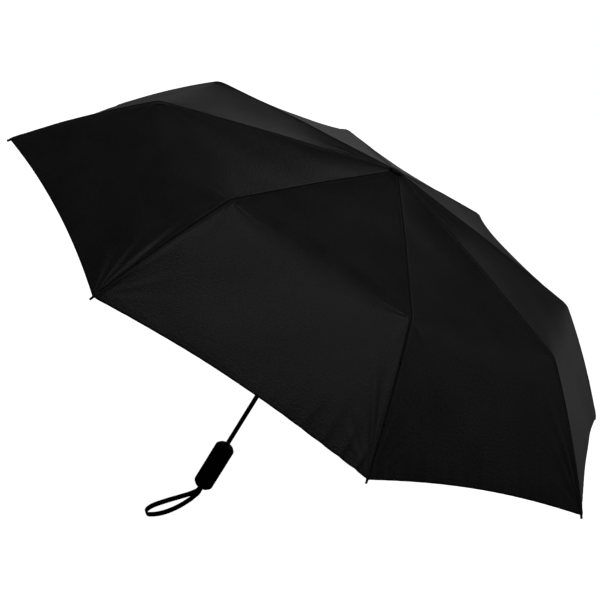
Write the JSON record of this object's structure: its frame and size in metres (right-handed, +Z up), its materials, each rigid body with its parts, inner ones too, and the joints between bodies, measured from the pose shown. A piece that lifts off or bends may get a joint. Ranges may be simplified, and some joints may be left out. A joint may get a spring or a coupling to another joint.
{
  "type": "folding umbrella",
  "caption": "Compact folding umbrella shown open: cloth canopy on hinged folding ribs, telescopic shaft with sliding runner, plain grip and wrist strap.",
  "frame": {"origin": "middle of the handle grip, on the shaft's axis, where a hand holds the umbrella", "axes": "+Z up the shaft from the grip to the crown, +X along rib 1, open"},
  "size_m": [0.964, 0.964, 0.6578],
  "materials": {
    "canopy_cloth": "closely woven polyester, dark, faint satin sheen",
    "webbing": "flat woven nylon tape, matte black",
    "grip_plastic": "soft matte black moulding",
    "black_plastic": "black moulded plastic, satin",
    "notch_plastic": "black moulded nylon",
    "shaft_steel": "black enamelled steel tube, satin",
    "rib_steel": "black enamelled folded steel",
    "spring_steel": "drawn spring wire, dull"
  },
  "bodies": {
    "handle": {"handle_grip": "grip_plastic", "handle_end_cap": "grip_plastic", "lower_tube": "shaft_steel", "wrist_strap": "webbing"},
    "middle_shaft": {"middle_tube": "shaft_steel"},
    "upper_shaft": {"upper_tube": "shaft_steel", "top_notch": "notch_plastic", "crown_cap": "black_plastic", "runner_catch": "spring_steel", "canopy": "canopy_cloth"},
    "runner": {"runner": "notch_plastic"},
    "runner_button": {"runner_button": "black_plastic"},
    "top_1": {"top_rib_1": "rib_steel"},
    "stay_1": {"stretcher_1": "rib_steel"},
    "inner_1": {"inner_link_1": "spring_steel"},
    "middle_1": {"middle_rib_1": "rib_steel"},
    "link_1": {"outer_link_1": "spring_steel"},
    "outer_1": {"outer_rib_1": "rib_steel"},
    "top_2": {"top_rib_2": "rib_steel"},
    "stay_2": {"stretcher_2": "rib_steel"},
    "inner_2": {"inner_link_2": "spring_steel"},
    "middle_2": {"middle_rib_2": "rib_steel"},
    "link_2": {"outer_link_2": "spring_steel"},
    "outer_2": {"outer_rib_2": "rib_steel"},
    "top_3": {"top_rib_3": "rib_steel"},
    "stay_3": {"stretcher_3": "rib_steel"},
    "inner_3": {"inner_link_3": "spring_steel"},
    "middle_3": {"middle_rib_3": "rib_steel"},
    "link_3": {"outer_link_3": "spring_steel"},
    "outer_3": {"outer_rib_3": "rib_steel"},
    "top_4": {"top_rib_4": "rib_steel"},
    "stay_4": {"stretcher_4": "rib_steel"},
    "inner_4": {"inner_link_4": "spring_steel"},
    "middle_4": {"middle_rib_4": "rib_steel"},
    "link_4": {"outer_link_4": "spring_steel"},
    "outer_4": {"outer_rib_4": "rib_steel"},
    "top_5": {"top_rib_5": "rib_steel"},
    "stay_5": {"stretcher_5": "rib_steel"},
    "inner_5": {"inner_link_5": "spring_steel"},
    "middle_5": {"middle_rib_5": "rib_steel"},
    "link_5": {"outer_link_5": "spring_steel"},
    "outer_5": {"outer_rib_5": "rib_steel"},
    "top_6": {"top_rib_6": "rib_steel"},
    "stay_6": {"stretcher_6": "rib_steel"},
    "inner_6": {"inner_link_6": "spring_steel"},
    "middle_6": {"middle_rib_6": "rib_steel"},
    "link_6": {"outer_link_6": "spring_steel"},
    "outer_6": {"outer_rib_6": "rib_steel"},
    "top_7": {"top_rib_7": "rib_steel"},
    "stay_7": {"stretcher_7": "rib_steel"},
    "inner_7": {"inner_link_7": "spring_steel"},
    "middle_7": {"middle_rib_7": "rib_steel"},
    "link_7": {"outer_link_7": "spring_steel"},
    "outer_7": {"outer_rib_7": "rib_steel"},
    "top_8": {"top_rib_8": "rib_steel"},
    "stay_8": {"stretcher_8": "rib_steel"},
    "inner_8": {"inner_link_8": "spring_steel"},
    "middle_8": {"middle_rib_8": "rib_steel"},
    "link_8": {"outer_link_8": "spring_steel"},
    "outer_8": {"outer_rib_8": "rib_steel"}
  },
  "joints": [
    {"name": "lower_telescope", "type": "slide", "parent": "handle", "child": "middle_shaft", "axis": [0, 0, -1], "range_m": [0, 0.134]},
    {"name": "upper_telescope", "type": "slide", "parent": "middle_shaft", "child": "upper_shaft", "axis": [0, 0, -1], "range_m": [0, 0.134]},
    {"name": "fold_1", "type": "hinge", "parent": "upper_shaft", "child": "top_1", "pos_m": [0.009, 0, 0.527], "axis": [0, 1, 0], "range_deg": [0, 78.18], "deforming": ["canopy"]},
    {"name": "stay_hinge_1", "type": "hinge", "parent": "top_1", "child": "stay_1", "pos_m": [0.10211, 0, 0.50777], "axis": [0, 1, 0], "range_deg": [-156.41, 0]},
    {"name": "inner_hinge_1", "type": "hinge", "parent": "stay_1", "child": "inner_1", "pos_m": [0.09722, 0, 0.50675], "axis": [0, 1, 0], "range_deg": [0, 156.41]},
    {"name": "middle_hinge_1", "type": "hinge", "parent": "top_1", "child": "middle_1", "pos_m": [0.16886, 0, 0.50259], "axis": [0, 1, 0], "range_deg": [-179.73, 0]},
    {"name": "link_hinge_1", "type": "hinge", "parent": "top_1", "child": "link_1", "pos_m": [0.16404, 0, 0.50124], "axis": [0, 1, 0], "range_deg": [-179.73, 0]},
    {"name": "knee_1", "type": "hinge", "parent": "middle_1", "child": "outer_1", "pos_m": [0.32787, 0, 0.46656], "axis": [0, 1, 0], "range_deg": [0, 149.55]},
    {"name": "fold_2", "type": "hinge", "parent": "upper_shaft", "child": "top_2", "pos_m": [0.00636, 0.00636, 0.527], "axis": [-0.7071, 0.7071, 0], "range_deg": [0, 78.23]},
    {"name": "stay_hinge_2", "type": "hinge", "parent": "top_2", "child": "stay_2", "pos_m": [0.07221, 0.07221, 0.50777], "axis": [-0.7071, 0.7071, 0], "range_deg": [-156.41, 0]},
    {"name": "inner_hinge_2", "type": "hinge", "parent": "stay_2", "child": "inner_2", "pos_m": [0.06874, 0.06874, 0.50675], "axis": [-0.7071, 0.7071, 0], "range_deg": [0, 156.41]},
    {"name": "middle_hinge_2", "type": "hinge", "parent": "top_2", "child": "middle_2", "pos_m": [0.1194, 0.1194, 0.50259], "axis": [-0.7071, 0.7071, 0], "range_deg": [-179.73, 0]},
    {"name": "link_hinge_2", "type": "hinge", "parent": "top_2", "child": "link_2", "pos_m": [0.116, 0.116, 0.50124], "axis": [-0.7071, 0.7071, 0], "range_deg": [-179.73, 0]},
    {"name": "knee_2", "type": "hinge", "parent": "middle_2", "child": "outer_2", "pos_m": [0.23184, 0.23184, 0.46656], "axis": [-0.7071, 0.7071, 0], "range_deg": [0, 149.55]},
    {"name": "fold_3", "type": "hinge", "parent": "upper_shaft", "child": "top_3", "pos_m": [0, 0.009, 0.527], "axis": [-1, 0, 0], "range_deg": [0, 78.23]},
    {"name": "stay_hinge_3", "type": "hinge", "parent": "top_3", "child": "stay_3", "pos_m": [0, 0.10211, 0.50777], "axis": [-1, 0, 0], "range_deg": [-156.41, 0]},
    {"name": "inner_hinge_3", "type": "hinge", "parent": "stay_3", "child": "inner_3", "pos_m": [0, 0.09722, 0.50675], "axis": [-1, 0, 0], "range_deg": [0, 156.41]},
    {"name": "middle_hinge_3", "type": "hinge", "parent": "top_3", "child": "middle_3", "pos_m": [0, 0.16886, 0.50259], "axis": [-1, 0, 0], "range_deg": [-179.73, 0]},
    {"name": "link_hinge_3", "type": "hinge", "parent": "top_3", "child": "link_3", "pos_m": [0, 0.16404, 0.50124], "axis": [-1, 0, 0], "range_deg": [-179.73, 0]},
    {"name": "knee_3", "type": "hinge", "parent": "middle_3", "child": "outer_3", "pos_m": [0, 0.32787, 0.46656], "axis": [-1, 0, 0], "range_deg": [0, 149.55]},
    {"name": "fold_4", "type": "hinge", "parent": "upper_shaft", "child": "top_4", "pos_m": [-0.00636, 0.00636, 0.527], "axis": [-0.7071, -0.7071, 0], "range_deg": [0, 78.23]},
    {"name": "stay_hinge_4", "type": "hinge", "parent": "top_4", "child": "stay_4", "pos_m": [-0.07221, 0.07221, 0.50777], "axis": [-0.7071, -0.7071, 0], "range_deg": [-156.41, 0]},
    {"name": "inner_hinge_4", "type": "hinge", "parent": "stay_4", "child": "inner_4", "pos_m": [-0.06874, 0.06874, 0.50675], "axis": [-0.7071, -0.7071, 0], "range_deg": [0, 156.41]},
    {"name": "middle_hinge_4", "type": "hinge", "parent": "top_4", "child": "middle_4", "pos_m": [-0.1194, 0.1194, 0.50259], "axis": [-0.7071, -0.7071, 0], "range_deg": [-179.73, 0]},
    {"name": "link_hinge_4", "type": "hinge", "parent": "top_4", "child": "link_4", "pos_m": [-0.116, 0.116, 0.50124], "axis": [-0.7071, -0.7071, 0], "range_deg": [-179.73, 0]},
    {"name": "knee_4", "type": "hinge", "parent": "middle_4", "child": "outer_4", "pos_m": [-0.23184, 0.23184, 0.46656], "axis": [-0.7071, -0.7071, 0], "range_deg": [0, 149.55]},
    {"name": "fold_5", "type": "hinge", "parent": "upper_shaft", "child": "top_5", "pos_m": [-0.009, 0, 0.527], "axis": [0, -1, 0], "range_deg": [0, 78.23]},
    {"name": "stay_hinge_5", "type": "hinge", "parent": "top_5", "child": "stay_5", "pos_m": [-0.10211, 0, 0.50777], "axis": [0, -1, 0], "range_deg": [-156.41, 0]},
    {"name": "inner_hinge_5", "type": "hinge", "parent": "stay_5", "child": "inner_5", "pos_m": [-0.09722, 0, 0.50675], "axis": [0, -1, 0], "range_deg": [0, 156.41]},
    {"name": "middle_hinge_5", "type": "hinge", "parent": "top_5", "child": "middle_5", "pos_m": [-0.16886, 0, 0.50259], "axis": [0, -1, 0], "range_deg": [-179.73, 0]},
    {"name": "link_hinge_5", "type": "hinge", "parent": "top_5", "child": "link_5", "pos_m": [-0.16404, 0, 0.50124], "axis": [0, -1, 0], "range_deg": [-179.73, 0]},
    {"name": "knee_5", "type": "hinge", "parent": "middle_5", "child": "outer_5", "pos_m": [-0.32787, 0, 0.46656], "axis": [0, -1, 0], "range_deg": [0, 149.55]},
    {"name": "fold_6", "type": "hinge", "parent": "upper_shaft", "child": "top_6", "pos_m": [-0.00636, -0.00636, 0.527], "axis": [0.7071, -0.7071, 0], "range_deg": [0, 78.23]},
    {"name": "stay_hinge_6", "type": "hinge", "parent": "top_6", "child": "stay_6", "pos_m": [-0.07221, -0.07221, 0.50777], "axis": [0.7071, -0.7071, 0], "range_deg": [-156.41, 0]},
    {"name": "inner_hinge_6", "type": "hinge", "parent": "stay_6", "child": "inner_6", "pos_m": [-0.06874, -0.06874, 0.50675], "axis": [0.7071, -0.7071, 0], "range_deg": [0, 156.41]},
    {"name": "middle_hinge_6", "type": "hinge", "parent": "top_6", "child": "middle_6", "pos_m": [-0.1194, -0.1194, 0.50259], "axis": [0.7071, -0.7071, 0], "range_deg": [-179.73, 0]},
    {"name": "link_hinge_6", "type": "hinge", "parent": "top_6", "child": "link_6", "pos_m": [-0.116, -0.116, 0.50124], "axis": [0.7071, -0.7071, 0], "range_deg": [-179.73, 0]},
    {"name": "knee_6", "type": "hinge", "parent": "middle_6", "child": "outer_6", "pos_m": [-0.23184, -0.23184, 0.46656], "axis": [0.7071, -0.7071, 0], "range_deg": [0, 149.55]},
    {"name": "fold_7", "type": "hinge", "parent": "upper_shaft", "child": "top_7", "pos_m": [0, -0.009, 0.527], "axis": [1, 0, 0], "range_deg": [0, 78.23]},
    {"name": "stay_hinge_7", "type": "hinge", "parent": "top_7", "child": "stay_7", "pos_m": [0, -0.10211, 0.50777], "axis": [1, 0, 0], "range_deg": [-156.41, 0]},
    {"name": "inner_hinge_7", "type": "hinge", "parent": "stay_7", "child": "inner_7", "pos_m": [0, -0.09722, 0.50675], "axis": [1, 0, 0], "range_deg": [0, 156.41]},
    {"name": "middle_hinge_7", "type": "hinge", "parent": "top_7", "child": "middle_7", "pos_m": [0, -0.16886, 0.50259], "axis": [1, 0, 0], "range_deg": [-179.73, 0]},
    {"name": "link_hinge_7", "type": "hinge", "parent": "top_7", "child": "link_7", "pos_m": [0, -0.16404, 0.50124], "axis": [1, 0, 0], "range_deg": [-179.73, 0]},
    {"name": "knee_7", "type": "hinge", "parent": "middle_7", "child": "outer_7", "pos_m": [0, -0.32787, 0.46656], "axis": [1, 0, 0], "range_deg": [0, 149.55]},
    {"name": "fold_8", "type": "hinge", "parent": "upper_shaft", "child": "top_8", "pos_m": [0.00636, -0.00636, 0.527], "axis": [0.7071, 0.7071, 0], "range_deg": [0, 78.23]},
    {"name": "stay_hinge_8", "type": "hinge", "parent": "top_8", "child": "stay_8", "pos_m": [0.07221, -0.07221, 0.50777], "axis": [0.7071, 0.7071, 0], "range_deg": [-156.41, 0]},
    {"name": "inner_hinge_8", "type": "hinge", "parent": "stay_8", "child": "inner_8", "pos_m": [0.06874, -0.06874, 0.50675], "axis": [0.7071, 0.7071, 0], "range_deg": [0, 156.41]},
    {"name": "middle_hinge_8", "type": "hinge", "parent": "top_8", "child": "middle_8", "pos_m": [0.1194, -0.1194, 0.50259], "axis": [0.7071, 0.7071, 0], "range_deg": [-179.73, 0]},
    {"name": "link_hinge_8", "type": "hinge", "parent": "top_8", "child": "link_8", "pos_m": [0.116, -0.116, 0.50124], "axis": [0.7071, 0.7071, 0], "range_deg": [-179.73, 0]},
    {"name": "knee_8", "type": "hinge", "parent": "middle_8", "child": "outer_8", "pos_m": [0.23184, -0.23184, 0.46656], "axis": [0.7071, 0.7071, 0], "range_deg": [0, 149.55]},
    {"name": "runner_hinge", "type": "hinge", "parent": "stay_1", "child": "runner", "pos_m": [0.009, 0, 0.48853], "axis": [0, 1, 0], "range_deg": [0, 78.23]},
    {"name": "button_press", "type": "slide", "parent": "runner", "child": "runner_button", "axis": [-0.9239, -0.3827, 0], "range_m": [0, 0.0015], "stiffness_N_per_m": 300, "springref_m": -0.001}
  ],
  "couplings": [
    {"joint": "stay_hinge_1", "follows": "fold_1", "ratio": -2},
    {"joint": "inner_hinge_1", "follows": "fold_1", "ratio": 2},
    {"joint": "middle_hinge_1", "follows": "fold_1", "ratio": -2.2983},
    {"joint": "link_hinge_1", "follows": "fold_1", "ratio": -2.2983},
    {"joint": "knee_1", "follows": "fold_1", "ratio": 1.9123},
    {"joint": "fold_2", "follows": "fold_1", "ratio": 1},
    {"joint": "stay_hinge_2", "follows": "fold_1", "ratio": -2},
    {"joint": "inner_hinge_2", "follows": "fold_1", "ratio": 2},
    {"joint": "middle_hinge_2", "follows": "fold_1", "ratio": -2.2983},
    {"joint": "link_hinge_2", "follows": "fold_1", "ratio": -2.2983},
    {"joint": "knee_2", "follows": "fold_1", "ratio": 1.9123},
    {"joint": "fold_3", "follows": "fold_1", "ratio": 1},
    {"joint": "stay_hinge_3", "follows": "fold_1", "ratio": -2},
    {"joint": "inner_hinge_3", "follows": "fold_1", "ratio": 2},
    {"joint": "middle_hinge_3", "follows": "fold_1", "ratio": -2.2983},
    {"joint": "link_hinge_3", "follows": "fold_1", "ratio": -2.2983},
    {"joint": "knee_3", "follows": "fold_1", "ratio": 1.9123},
    {"joint": "fold_4", "follows": "fold_1", "ratio": 1},
    {"joint": "stay_hinge_4", "follows": "fold_1", "ratio": -2},
    {"joint": "inner_hinge_4", "follows": "fold_1", "ratio": 2},
    {"joint": "middle_hinge_4", "follows": "fold_1", "ratio": -2.2983},
    {"joint": "link_hinge_4", "follows": "fold_1", "ratio": -2.2983},
    {"joint": "knee_4", "follows": "fold_1", "ratio": 1.9123},
    {"joint": "fold_5", "follows": "fold_1", "ratio": 1},
    {"joint": "stay_hinge_5", "follows": "fold_1", "ratio": -2},
    {"joint": "inner_hinge_5", "follows": "fold_1", "ratio": 2},
    {"joint": "middle_hinge_5", "follows": "fold_1", "ratio": -2.2983},
    {"joint": "link_hinge_5", "follows": "fold_1", "ratio": -2.2983},
    {"joint": "knee_5", "follows": "fold_1", "ratio": 1.9123},
    {"joint": "fold_6", "follows": "fold_1", "ratio": 1},
    {"joint": "stay_hinge_6", "follows": "fold_1", "ratio": -2},
    {"joint": "inner_hinge_6", "follows": "fold_1", "ratio": 2},
    {"joint": "middle_hinge_6", "follows": "fold_1", "ratio": -2.2983},
    {"joint": "link_hinge_6", "follows": "fold_1", "ratio": -2.2983},
    {"joint": "knee_6", "follows": "fold_1", "ratio": 1.9123},
    {"joint": "fold_7", "follows": "fold_1", "ratio": 1},
    {"joint": "stay_hinge_7", "follows": "fold_1", "ratio": -2},
    {"joint": "inner_hinge_7", "follows": "fold_1", "ratio": 2},
    {"joint": "middle_hinge_7", "follows": "fold_1", "ratio": -2.2983},
    {"joint": "link_hinge_7", "follows": "fold_1", "ratio": -2.2983},
    {"joint": "knee_7", "follows": "fold_1", "ratio": 1.9123},
    {"joint": "fold_8", "follows": "fold_1", "ratio": 1},
    {"joint": "stay_hinge_8", "follows": "fold_1", "ratio": -2},
    {"joint": "inner_hinge_8", "follows": "fold_1", "ratio": 2},
    {"joint": "middle_hinge_8", "follows": "fold_1", "ratio": -2.2983},
    {"joint": "link_hinge_8", "follows": "fold_1", "ratio": -2.2983},
    {"joint": "knee_8", "follows": "fold_1", "ratio": 1.9123},
    {"joint": "runner_hinge", "follows": "fold_1", "ratio": 1}
  ]
}
